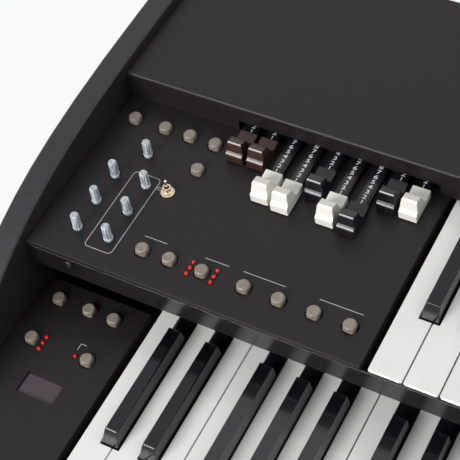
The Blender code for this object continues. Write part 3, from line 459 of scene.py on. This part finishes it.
def addDigits(index, box):
    centre = (box[0].x + box[1].x) / 2
    capRear = box[0].y + drawbars["capLength"] * mm
    top = box[0].z + (drawbars["barTop"] + 0.02) * mm
    made = []
    for digit in range(1, drawbars["digits"] + 1):
        deselectAll()
        bpy.ops.object.text_add(location=(0, 0, 0))
        text = bpy.context.object
        text.data.body = str(digit)
        text.data.size = drawbars["digitSize"] * mm
        text.data.align_x = "CENTER"
        text.data.align_y = "CENTER"
        text.data.extrude = 0.03 * mm
        text.data.offset = 0.05 * mm
        text.data.resolution_u = 3
        bpy.ops.object.convert(target="MESH")
        text = bpy.context.object
        text.scale.x = drawbars["digitStretch"]
        text.location = (centre, capRear + (digit - 0.45) * drawbars["digitPitch"] * mm, top)
        freezePlace(text)
        made.append(text)
    deselectAll()
    for text in made:
        text.select_set(True)
    bpy.context.view_layer.objects.active = made[0]
    bpy.ops.object.join()
    fitPiece(made[0], f"drawbar_{index}_digits", digitInk, f"drawbar_{index}", slotOf[f"drawbar_{index}"])


for index, kind in enumerate(drawbars["colours"], 1):
    nodeName = f"drawbar_{index}"
    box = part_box(nodeName)
    capRear = box[0].y + drawbars["capLength"] * mm
    refined(nodeName, drawbarFinish(index, kind, capRear), 0.45, nodeName, segments=3)
    addDigits(index, box)
print("drawbars dressed")

# Lamps: millimetres, from the boards' places
lamps = {
    "radius": 1.58,
    "rise": 1.7,
    "upper": [(x, y) for x in (-352.85, -335.05) for y in (-45.6, -50.6, -55.6)],
    "lower": [(-442.65, -108.7), (-442.65, -113.7), (-442.65, -118.7), (-416.25, -113.7)],
}
lampRed = lampFinish()


def addLamp(name, x, y, panelTop):
    deselectAll()
    radius = lamps["radius"] * mm
    bpy.ops.mesh.primitive_uv_sphere_add(segments=20, ring_count=12, radius=radius, location=(0, 0, 0))
    lamp = bpy.context.object
    bpy.ops.object.mode_set(mode="EDIT")
    bpy.ops.mesh.select_all(action="SELECT")
    bpy.ops.mesh.bisect(plane_co=(0, 0, 0), plane_no=(0, 0, 1), use_fill=True, clear_inner=True)
    bpy.ops.mesh.select_all(action="DESELECT")
    bpy.ops.object.mode_set(mode="OBJECT")
    for face in lamp.data.polygons:
        face.select = face.normal.z < -0.9
    bpy.ops.object.mode_set(mode="EDIT")
    bpy.ops.mesh.select_mode(type="FACE")
    bpy.ops.mesh.extrude_region_move(TRANSFORM_OT_translate={"value": (0, 0, -0.9 * mm)})
    bpy.ops.object.mode_set(mode="OBJECT")
    lamp.scale.z = lamps["rise"] / (lamps["radius"] + 0.4)
    lamp.location = (x * mm, y * mm, panelTop + 0.35 * mm)
    freezePlace(lamp)
    bpy.ops.object.shade_smooth_by_angle(angle=math.radians(40))
    fitPiece(lamp, name, lampRed, "case", "board_green")


for count, (x, y) in enumerate(lamps["upper"], 1):
    addLamp(f"upper_lamp_{count}", x, y, upperTop)
for count, (x, y) in enumerate(lamps["lower"], 1):
    addLamp(f"lower_lamp_{count}", x, y, lowerTop)
print("lamps placed")

# Toggle switch: nut, lock washer and bushing
toggle = {
    "x": -397.85,
    "y": -0.8,
    "nut": (5.1, 1.9, 1.8),
    "washer": (5.6, 0.75, 0.45),
    "bushing": 3.12,
    "bushingRise": 6.1,
    "bore": 2.0,
}


def addRound(sides, radius, depth, height):
    deselectAll()
    bpy.ops.mesh.primitive_cylinder_add(
        vertices=sides, radius=radius * mm, depth=depth * mm, location=(0, 0, height * mm)
    )
    return bpy.context.object


def addToggleNut():
    nut = addRound(6, *toggle["nut"])
    softenEdges(nut, 0.25, 2, 28)
    washer = addRound(28, *toggle["washer"])
    bpy.ops.object.mode_set(mode="EDIT")
    bpy.ops.mesh.select_all(action="DESELECT")
    bpy.ops.object.mode_set(mode="OBJECT")
    for face in washer.data.polygons:
        face.select = face.normal.x > 0.97
    bpy.ops.object.mode_set(mode="EDIT")
    bpy.ops.mesh.select_mode(type="FACE")
    bpy.ops.mesh.extrude_region_move(TRANSFORM_OT_translate={"value": (1.6 * mm, 0, 0.3 * mm)})
    bpy.ops.object.mode_set(mode="OBJECT")
    softenEdges(washer, 0.12, 2, 28)
    bushing = addRound(32, toggle["bushing"], toggle["bushingRise"], toggle["bushingRise"] / 2)
    for face in bushing.data.polygons:
        face.select = face.normal.z > 0.9
    bpy.ops.object.mode_set(mode="EDIT")
    bpy.ops.mesh.select_mode(type="FACE")
    bpy.ops.mesh.inset(thickness=(toggle["bushing"] - toggle["bore"]) * mm)
    sink = (0.4 - toggle["bushingRise"]) * mm
    bpy.ops.mesh.extrude_region_move(TRANSFORM_OT_translate={"value": (0, 0, sink)})
    bpy.ops.object.mode_set(mode="OBJECT")
    softenEdges(bushing, 0.12, 2, 28)
    deselectAll()
    for part in (nut, washer, bushing):
        part.select_set(True)
    bpy.context.view_layer.objects.active = nut
    bpy.ops.object.join()
    nut.location = (toggle["x"] * mm, toggle["y"] * mm, upperTop)
    freezePlace(nut)
    fitPiece(nut, "toggle_nut", brassNickel, "case", "nickel")


addToggleNut()
print("toggle switch dressed")

# Printed lines, in millimetres: plain strokes and one rounded frame
prints = {
    "stroke": 0.42,
    "rise": 0.04,
    "upper": [
        ((-393.6, -39.3), (-376.7, -39.3)),
        ((-347.2, -39.3), (-330.1, -39.3)),
        ((-319.2, -39.1), (-288.9, -39.1)),
        ((-264.5, -39.1), (-234.3, -39.1)),
        ((-407.3, 0.9), (-402.6, 0.9)),
        ((-407.3, -0.9), (-403.2, -0.9)),
    ],
    "lower": [((-417.7, -108.6), (-417.7, -103.4)), ((-417.7, -103.4), (-413.6, -103.4))],
    "frame": ((-428.7, -62.3), (-407.3, 7.7)),
    "frameRound": 3.2,
}


def addStroke(start, end, top):
    deselectAll()
    along = Vector((end[0] - start[0], end[1] - start[1]))
    bpy.ops.mesh.primitive_plane_add(size=1, location=(0, 0, 0))
    stroke = bpy.context.object
    stroke.scale = ((along.length + prints["stroke"]) * mm, prints["stroke"] * mm, 1)
    stroke.rotation_euler.z = math.atan2(along.y, along.x)
    stroke.location = ((start[0] + end[0]) / 2 * mm, (start[1] + end[1]) / 2 * mm, top)
    freezePlace(stroke)
    bpy.ops.object.mode_set(mode="EDIT")
    bpy.ops.mesh.select_all(action="SELECT")
    bpy.ops.mesh.bevel(offset=prints["stroke"] * 0.4 * mm, segments=3, affect="VERTICES")
    bpy.ops.object.mode_set(mode="OBJECT")
    return stroke


def addRoundFrame(low, high, top):
    deselectAll()
    bpy.ops.mesh.primitive_plane_add(size=1, location=(0, 0, 0))
    outline = bpy.context.object
    outline.location = ((low[0] + high[0]) / 2 * mm, (low[1] + high[1]) / 2 * mm, top)
    outline.scale = ((high[0] - low[0]) * mm, (high[1] - low[1]) * mm, 1)
    freezePlace(outline)
    bpy.ops.object.mode_set(mode="EDIT")
    bpy.ops.mesh.select_all(action="SELECT")
    bpy.ops.mesh.bevel(offset=prints["frameRound"] * mm, segments=6, affect="VERTICES")
    bpy.ops.mesh.select_all(action="SELECT")
    bpy.ops.mesh.inset(thickness=prints["stroke"] * mm)
    bpy.ops.mesh.delete(type="FACE")
    bpy.ops.object.mode_set(mode="OBJECT")
    return outline


def printPiece(name, strokes):
    deselectAll()
    for stroke in strokes:
        stroke.select_set(True)
    bpy.context.view_layer.objects.active = strokes[0]
    bpy.ops.object.join()
    thick = strokes[0].modifiers.new("inkThickness", "SOLIDIFY")
    thick.thickness = prints["rise"] * mm
    thick.offset = 1
    applyModifiers(strokes[0])
    fitPiece(strokes[0], name, printInk, "case", "satin_black")


inkTop = 0.01 * mm
upperStrokes = [addStroke(start, end, upperTop + inkTop) for start, end in prints["upper"]]
upperStrokes.append(addRoundFrame(*prints["frame"], upperTop + inkTop))
printPiece("upper_panel_lines", upperStrokes)
printPiece("lower_panel_lines", [addStroke(start, end, lowerTop + inkTop) for start, end in prints["lower"]])
print("lines printed")

# Screws: one in the upper slip's face, small ones on the comb between the drawbars
screws = {"slip": (-434.45, -75.0, 119.3), "slipRadius": 3.0, "combRadius": 0.75}


def addScrew(name, place, radius, facing, finish):
    screw = addRound(24, radius, radius * 0.55, 0)
    for face in screw.data.polygons:
        face.select = face.normal.z > 0.9
    bpy.ops.object.mode_set(mode="EDIT")
    bpy.ops.mesh.select_mode(type="FACE")
    bpy.ops.mesh.inset(thickness=radius * 0.3 * mm, depth=radius * 0.22 * mm)
    bpy.ops.mesh.inset(thickness=radius * 0.3 * mm)
    bpy.ops.mesh.inset(thickness=radius * 0.06 * mm, depth=-radius * 0.3 * mm)
    bpy.ops.object.mode_set(mode="OBJECT")
    softenEdges(screw, radius * 0.05, 2, 30)
    screw.rotation_euler = facing
    screw.location = [value * mm for value in place]
    freezePlace(screw)
    fitPiece(screw, name, finish, "case", "zinc_steel")


addScrew("slip_screw", screws["slip"], screws["slipRadius"], (math.radians(90), 0, 0), blackSteel)
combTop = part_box("drawbar_frame")[1].z / mm
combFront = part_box("drawbar_frame")[0].y / mm
for index in range(1, 9):
    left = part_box(f"drawbar_{index}")
    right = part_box(f"drawbar_{index + 1}")
    middle = (left[1].x + right[0].x) / 2 / mm
    place = (middle, combFront + 1.0, combTop + 0.1)
    addScrew(f"comb_screw_{index}", place, screws["combRadius"], (0, 0, 0), brassNickel)
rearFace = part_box("rear_panel")[1].y / mm
for count in range(1, 8):
    for row, height in (("low", 24), ("high", 116)):
        place = (140 * count - 560, rearFace + 0.2, height)
        addScrew(f"rear_screw_{row}_{count}", place, 2.8, (math.radians(-90), 0, 0), blackSteel)
print("screws placed")

# Mains inlet: three blades standing in the well of the rear panel
inlet = {
    "x": 388.25,
    "z": 60.0,
    "spread": 7.0,
    "drop": 2.0,
    "back": 203.4,
    "front": 217.0,
    "blade": (2.0, 4.0),
}


def addInletPins():
    made = []
    length = inlet["front"] - inlet["back"]
    for side in (-1, 0, 1):
        deselectAll()
        bpy.ops.mesh.primitive_cube_add(size=1, location=(0, 0, 0))
        pin = bpy.context.object
        pin.scale = (inlet["blade"][0] * mm, length * mm, inlet["blade"][1] * mm)
        lift = inlet["drop"] * (1 - 2 * abs(side))
        place = (inlet["x"] + side * inlet["spread"], inlet["back"] + length / 2, inlet["z"] + lift)
        pin.location = [value * mm for value in place]
        freezePlace(pin)
        softenEdges(pin, 0.5, 3, 30)
        made.append(pin)
    deselectAll()
    for pin in made:
        pin.select_set(True)
    bpy.context.view_layer.objects.active = made[0]
    bpy.ops.object.join()
    fitPiece(made[0], "inlet_pins", brassNickel, "case", "nickel")


addInletPins()
print("inlet dressed")

# Floor, lamps and the white surroundings
stageLook = {"floor": (0.86, 0.86, 0.86), "world": 0.42, "key": 50, "side": 5, "white": 0.8}


def seenRays(holder):
    # 1 for what the camera sees, straight or in metal and glass
    rays = addNode(holder, "ShaderNodeLightPath")
    mirrored = addMath(holder, "MAXIMUM", rays.outputs["Is Glossy Ray"], rays.outputs["Is Transmission Ray"])
    return addMath(holder, "MAXIMUM", rays.outputs["Is Camera Ray"], mirrored)


def addStage():
    deselectAll()
    bpy.ops.mesh.primitive_plane_add(size=14, location=(0, 0, -0.0005))
    floor = bpy.context.object
    floor.name = "floor"
    paper = newFinish("floorPaper", stageLook["floor"], 0.9)
    tree = paper.node_tree
    glow = addNode(paper, "ShaderNodeEmission")
    glow.inputs["Color"].default_value = (1, 1, 1, 1)
    glow.inputs["Strength"].default_value = 1.0
    mix = addNode(paper, "ShaderNodeMixShader")
    share = addMath(paper, "MULTIPLY", seenRays(paper), stageLook["white"])
    tree.links.new(share, mix.inputs["Fac"])
    tree.links.new(shaderOf(paper).outputs["BSDF"], mix.inputs[1])
    tree.links.new(glow.outputs["Emission"], mix.inputs[2])
    tree.links.new(mix.outputs["Shader"], tree.nodes["Material Output"].inputs["Surface"])
    floor.data.materials.append(paper)


def addSurroundings():
    world = bpy.data.worlds.new("studio")
    bpy.context.scene.world = world
    world.use_nodes = True
    tree = world.node_tree
    background = tree.nodes["Background"]
    background.inputs["Color"].default_value = (1, 1, 1, 1)
    span = tree.nodes.new("ShaderNodeMapRange")
    span.inputs["To Min"].default_value = stageLook["world"]
    span.inputs["To Max"].default_value = 1.0
    tree.links.new(seenRays(world), span.inputs["Value"])
    tree.links.new(span.outputs["Result"], background.inputs["Strength"])


def addSoftbox(name, place, aim, size, power):
    lamp = bpy.data.lights.new(name, "AREA")
    lamp.shape = "RECTANGLE"
    lamp.size = size[0]
    lamp.size_y = size[1]
    lamp.energy = power
    box = bpy.data.objects.new(name, lamp)
    bpy.context.scene.collection.objects.link(box)
    box.location = place
    box.rotation_euler = (Vector(aim) - Vector(place)).to_track_quat("-Z", "Y").to_euler()


addStage()
addSurroundings()
addSoftbox("keySoftbox", (-1.03, -1.89, 1.25), (-0.2, -0.05, 0.1), (1.2, 0.7), stageLook["key"])
addSoftbox("sideSoftbox", (0.9, 0.6, 1.9), (-0.2, 0, 0.1), (1.6, 1.0), stageLook["side"])
print("stage lit")
